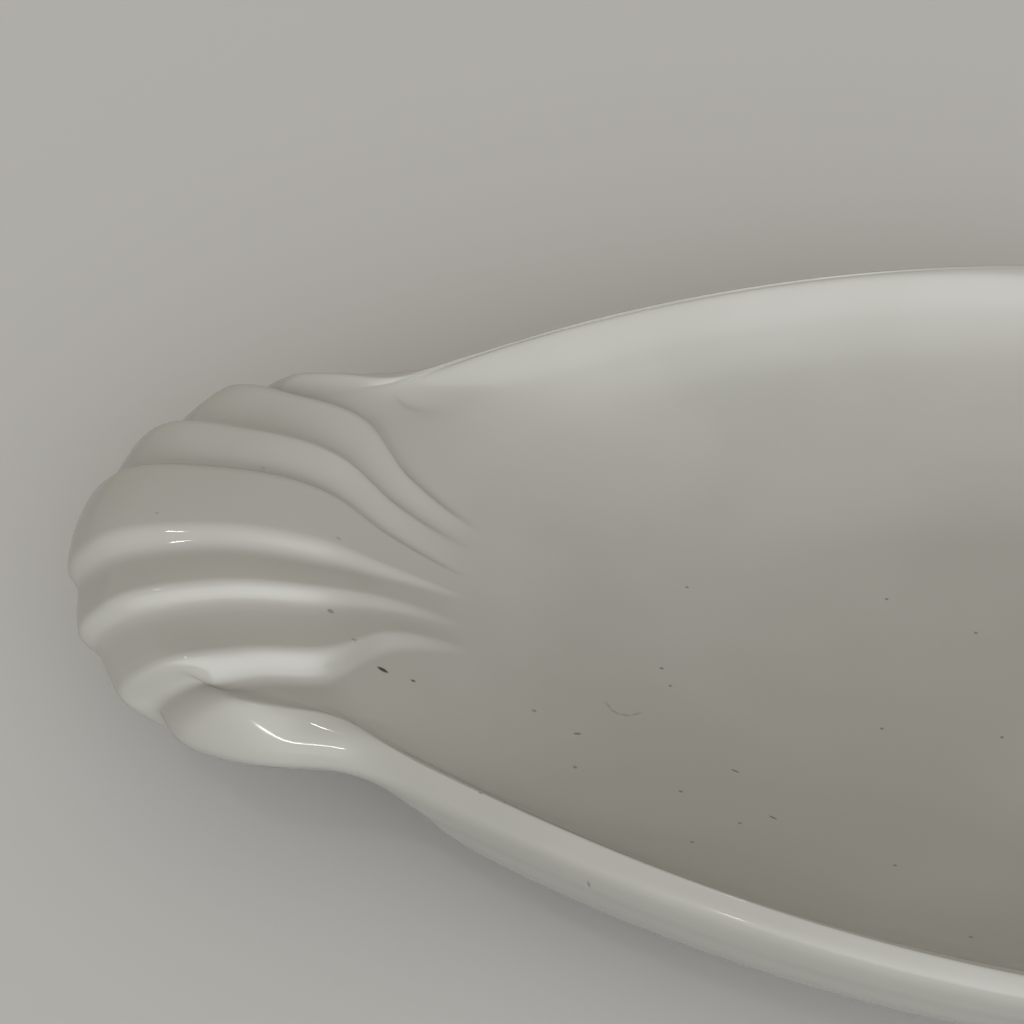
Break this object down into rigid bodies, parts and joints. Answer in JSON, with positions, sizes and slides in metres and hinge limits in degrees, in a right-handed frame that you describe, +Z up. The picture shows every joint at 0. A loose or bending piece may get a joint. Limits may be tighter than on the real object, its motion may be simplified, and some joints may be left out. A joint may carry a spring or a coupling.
{
  "type": "oval dish with fluted shell handles",
  "caption": "Shallow oval glazed serving dish with a shell-fluted lug handle at each end, a rounded rim and a low foot ring.",
  "frame": {"origin": "middle of the dish on the plane that the foot ring stands on", "axes": "+X along the dish from handle to handle, +Y across it, +Z up out of the bowl"},
  "size_m": [0.28, 0.1326, 0.034],
  "materials": {
    "glaze": "smooth glossy white glaze with a slightly warm tint and a few small firing specks"
  },
  "bodies": {
    "root": {"dish": "glaze"}
  },
  "joints": []
}
